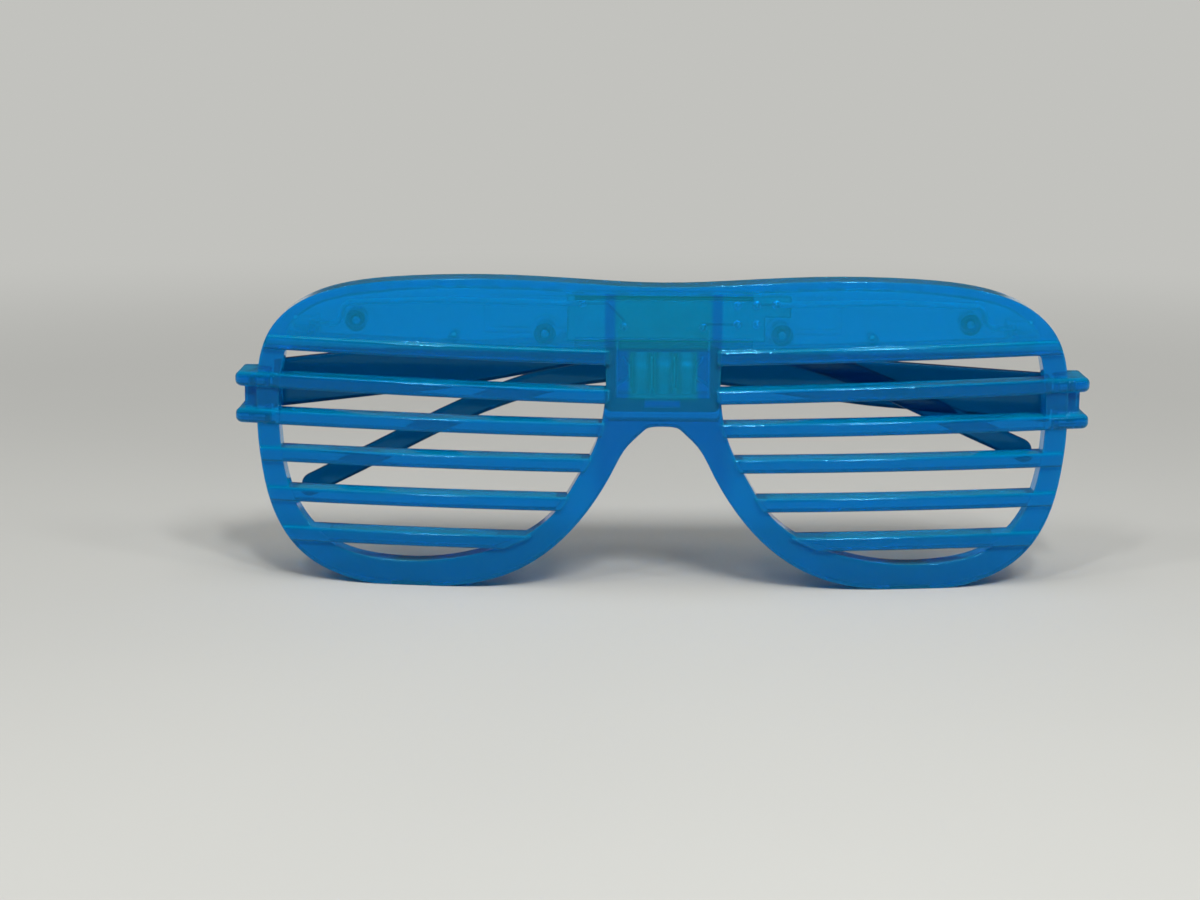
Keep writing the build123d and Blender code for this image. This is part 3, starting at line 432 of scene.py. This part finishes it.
front_tracks = [
    [far_contact_pad, (-contact_middle, mid_z - contact_dip),
     (-contact_middle - (wire_z - mid_z + contact_dip), wire_z), pad_left],
    [contact_pad, (contact_middle, pins[0][1]), pins[0]],
    [pins[3], (pins[3][0] + pin_step, wire_z), pad_right],
    [pins[1], (pins[1][0] - pin_step, top_z), (pad_left[0] + upper_end, top_z)],
]
back_tracks = [
    [resistor_ends[0], (pad_left[0] + resistor_turn, row_z), (pad_left[0] + resistor_turn, wire_z)],
    [resistor_ends[1], resistor_ends[2]],
    [resistor_ends[3], (contact_middle - jog_start, row_z), (contact_middle - jog_end, mid_z),
     (chip[0].x, mid_z)],
    [(chip[1].x, mid_z), (switch[0].x, mid_z)],
    [(chip_middle, chip[1].z), (chip_middle, top_z), (pad_right[0] - pad_turn, top_z), pad_right],
]
for name, tracks, face, out in (("tracks_front", front_tracks, board_front, -1),
                                ("tracks_back", back_tracks, board_back, 1)):
    form = bmesh.new()
    for path in tracks:
        run(form, path, track_width, face * MM, (face + out * track_thick) * MM)
    piece(name, form, track_green)

# A solder joint: a wide foot on the pad, drawn up round the pin. The shares are of the pad's radius and
# of the joint's height
pad_radius = 0.75
joint_height = 0.73
joint_shares = [(0.8267, 0.1644), (0.56, 0.3288), (0.4, 0.5753), (0.3467, 0.8219), (0.2267, 0.9589),
                (0.08, 1.0)]
small_radius_share = 0.7         # the joints behind the board are smaller
small_height_share = 0.8
smooth_under_deg = 50
joint = [(pad_radius, 0.0), (pad_radius, track_thick)]
joint += [(pad_radius * wide, joint_height * high) for wide, high in joint_shares]
small_joint = [(radius * small_radius_share, height * small_height_share) for radius, height in joint]
form = bmesh.new()
for x, z in pins + [contact_pad, far_contact_pad, pad_left, pad_right]:
    turned(form, joint, (x, board_front, z), -1)
for x, z in resistor_ends + [pad_left, pad_right]:
    turned(form, small_joint, (x, board_back, z), 1)
joints = piece("solder_joints", form, solder)
joints.data.polygons.foreach_set("use_smooth", [True] * len(joints.data.polygons))
joints.data.set_sharp_from_angle(angle=math.radians(smooth_under_deg))


def lead_frame(hand, lamp_node):
    """The two leads inside a lamp, one with the cup that holds the light source; sizes in mm."""
    half = 0.25                  # half the thickness of a lead
    pitch = 1.3                  # from the middle of one lead to the other
    edge_break = 0.04
    cup_end = 3.2                # from the lamp's inner end to the cup's rim
    cup_low = -0.75
    cup_high = 0.3
    bowl_deep = 0.35
    bowl_low = -0.35
    neck_back = 1.2              # behind the rim, where the lead widens on its outer side
    throat_back = 1.4            # and on its inner side
    flare_back = 0.7
    shoulder_back = 0.9
    post_end = 3.6
    nib_back = 0.6
    nib_inset = 0.1
    low, high = in_mm(lamp_node)
    middle = (low + high) / 2
    inner = low.x if hand > 0 else high.x
    cup_side = -pitch / 2
    post_side = pitch / 2
    cup = [(0, cup_side - half), (cup_end - neck_back, cup_side - half), (cup_end - flare_back, cup_low),
           (cup_end, cup_low), (cup_end - bowl_deep, bowl_low), (cup_end - bowl_deep, 0.0),
           (cup_end, cup_high), (cup_end - shoulder_back, cup_high), (cup_end - throat_back, cup_side + half),
           (0, cup_side + half)]
    post = [(0, post_side - half), (post_end - nib_back, post_side - half), (post_end, post_side - nib_inset),
            (post_end, post_side + half), (0, post_side + half)]
    form = bmesh.new()
    for outline in (cup, post):
        corners = [form.verts.new(Vector((inner + hand * x, middle.y + y, middle.z - half)) * MM)
                   for x, y in outline]
        grown = bmesh.ops.extrude_face_region(form, geom=[form.faces.new(corners)])["geom"]
        bmesh.ops.translate(form, vec=(0, 0, 2 * half * MM),
                            verts=[part for part in grown if isinstance(part, bmesh.types.BMVert)])
    return piece(f"lead_frame_{'right' if hand > 0 else 'left'}", form, steel, bevel=edge_break * MM)


lead_frame(1, "led_right")
lead_frame(-1, "led_left")

# The stage, in metres
far_tone = (0.54, 0.54, 0.515, 1)
floor_half = 60.0
glow_start = 0.14                # from here outward the floor's own tone fades in
glow_full = 0.55
dim_tone = (0.60, 0.60, 0.60, 1)
dim_strength = 0.1


def floor_look():
    """A plain pale floor, which keeps its tone far from the lamps wherever it is only looked at."""
    made = varied("pale_floor", low=(0.50, 0.50, 0.475), high=(0.53, 0.53, 0.50), scale=3, rough=(0.55, 0.7))
    tree = made.node_tree
    place = tree.nodes.new("ShaderNodeTexCoord")
    away = tree.nodes.new("ShaderNodeVectorMath")
    away.operation = "LENGTH"
    tree.links.new(place.outputs["Object"], away.inputs[0])
    far = tree.nodes.new("ShaderNodeMapRange")
    far.interpolation_type = "SMOOTHSTEP"
    far.inputs["From Min"].default_value = glow_start
    far.inputs["From Max"].default_value = glow_full
    tree.links.new(away.outputs["Value"], far.inputs["Value"])
    path = tree.nodes.new("ShaderNodeLightPath")
    seen = path.outputs["Is Camera Ray"]
    for kind in ("Is Glossy Ray", "Is Transmission Ray"):
        seen = combined(tree, "MAXIMUM", seen, path.outputs[kind])
    glow = tree.nodes.new("ShaderNodeEmission")
    glow.inputs["Color"].default_value = far_tone
    blend = tree.nodes.new("ShaderNodeMixShader")
    tree.links.new(combined(tree, "MULTIPLY", far.outputs["Result"], seen), blend.inputs["Fac"])
    tree.links.new(tree.nodes["Principled BSDF"].outputs["BSDF"], blend.inputs[1])
    tree.links.new(glow.outputs["Emission"], blend.inputs[2])
    tree.links.new(blend.outputs["Shader"], tree.nodes["Material Output"].inputs["Surface"])
    return made


def floor():
    """The flat floor that the object stands on."""
    mesh = bpy.data.meshes.new("floor")
    corners = [(-floor_half, -floor_half, 0), (floor_half, -floor_half, 0),
               (floor_half, floor_half, 0), (-floor_half, floor_half, 0)]
    mesh.from_pydata(corners, [], [(0, 1, 2, 3)])
    mesh.materials.append(floor_look())
    made = bpy.data.objects.new("floor", mesh)
    bpy.context.scene.collection.objects.link(made)


def lamp(name, azimuth_deg, elevation_deg, wide, tall, power):
    """A soft rectangular lamp that faces the object, its azimuth counted from the front towards +X."""
    distance = 1.2
    aim = Vector((0, 0, 0.03))
    azimuth = math.radians(azimuth_deg)
    elevation = math.radians(elevation_deg)
    place = Vector((math.sin(azimuth) * math.cos(elevation), -math.cos(azimuth) * math.cos(elevation),
                    math.sin(elevation))) * distance
    data = bpy.data.lights.new(name, "AREA")
    data.shape = "RECTANGLE"
    data.size = wide
    data.size_y = tall
    data.energy = power
    made = bpy.data.objects.new(name, data)
    made.location = place
    made.rotation_mode = "QUATERNION"
    made.rotation_quaternion = (aim - place).to_track_quat("-Z", "Y")
    bpy.context.scene.collection.objects.link(made)


def studio():
    """Dim all round for lighting and reflections; past the floor the camera sees the floor's far tone."""
    world = bpy.data.worlds.new("studio")
    bpy.context.scene.world = world
    world.use_nodes = True
    tree = world.node_tree
    dim = tree.nodes["Background"]
    dim.inputs["Color"].default_value = dim_tone
    dim.inputs["Strength"].default_value = dim_strength
    pale = tree.nodes.new("ShaderNodeBackground")
    pale.inputs["Color"].default_value = far_tone
    path = tree.nodes.new("ShaderNodeLightPath")
    blend = tree.nodes.new("ShaderNodeMixShader")
    tree.links.new(path.outputs["Is Camera Ray"], blend.inputs["Fac"])
    tree.links.new(dim.outputs["Background"], blend.inputs[1])
    tree.links.new(pale.outputs["Background"], blend.inputs[2])
    tree.links.new(blend.outputs["Shader"], tree.nodes["World Output"].inputs["Surface"])


floor()
lamp("strip_middle", azimuth_deg=8, elevation_deg=46, wide=0.10, tall=0.25, power=5.5)
lamp("strip_right", azimuth_deg=24, elevation_deg=45, wide=0.12, tall=0.25, power=4.5)
lamp("strip_left", azimuth_deg=-24, elevation_deg=45, wide=0.06, tall=0.25, power=2.5)
lamp("side_left", azimuth_deg=-50, elevation_deg=40, wide=0.10, tall=0.25, power=1.5)
lamp("side_right", azimuth_deg=50, elevation_deg=40, wide=0.10, tall=0.25, power=1.5)
lamp("overhead", azimuth_deg=0, elevation_deg=80, wide=0.9, tall=0.9, power=6.5)
studio()


def photo_camera():
    """The photograph's camera: 10 degrees above the object, nearly square on."""
    elevation = math.radians(10.0)
    azimuth = math.radians(-1.14)
    roll = math.radians(0.65)
    distance = 476.0             # in mm, as the aim
    aim = Vector((0.0, -2.11, 27.25))
    focal_px = 2668.0            # in pixels of the photograph, as the place where the aim is seen
    aim_px = (661.7, 431.0)
    wide = 1200
    high = 900
    sensor_mm = 36.0
    back = Vector((math.sin(azimuth) * math.cos(elevation), -math.cos(azimuth) * math.cos(elevation),
                   math.sin(elevation)))
    ahead = -back
    right = ahead.cross(Vector((0, 0, 1))).normalized()
    up = right.cross(ahead)
    tilted_right = right * math.cos(roll) + up * math.sin(roll)
    tilted_up = -right * math.sin(roll) + up * math.cos(roll)
    across = (aim_px[0] - wide / 2) / focal_px
    down = (aim_px[1] - high / 2) / focal_px
    axis = (ahead - tilted_right * across + tilted_up * down).normalized()
    side = (tilted_right - axis * tilted_right.dot(axis)).normalized()
    top = side.cross(axis)
    data = bpy.data.cameras.new("photo_camera")
    data.sensor_width = sensor_mm
    data.lens = focal_px / wide * sensor_mm
    data.clip_start = 0.01
    data.clip_end = 50.0
    made = bpy.data.objects.new("photo_camera", data)
    turn = Matrix((side, top, -axis)).transposed().to_4x4()
    made.matrix_world = Matrix.Translation((aim + back * distance) * MM) @ turn
    bpy.context.scene.collection.objects.link(made)
    bpy.context.scene.camera = made


photo_camera()
bpy.context.scene.view_settings.view_transform = "Standard"

bpy.context.view_layer.update()
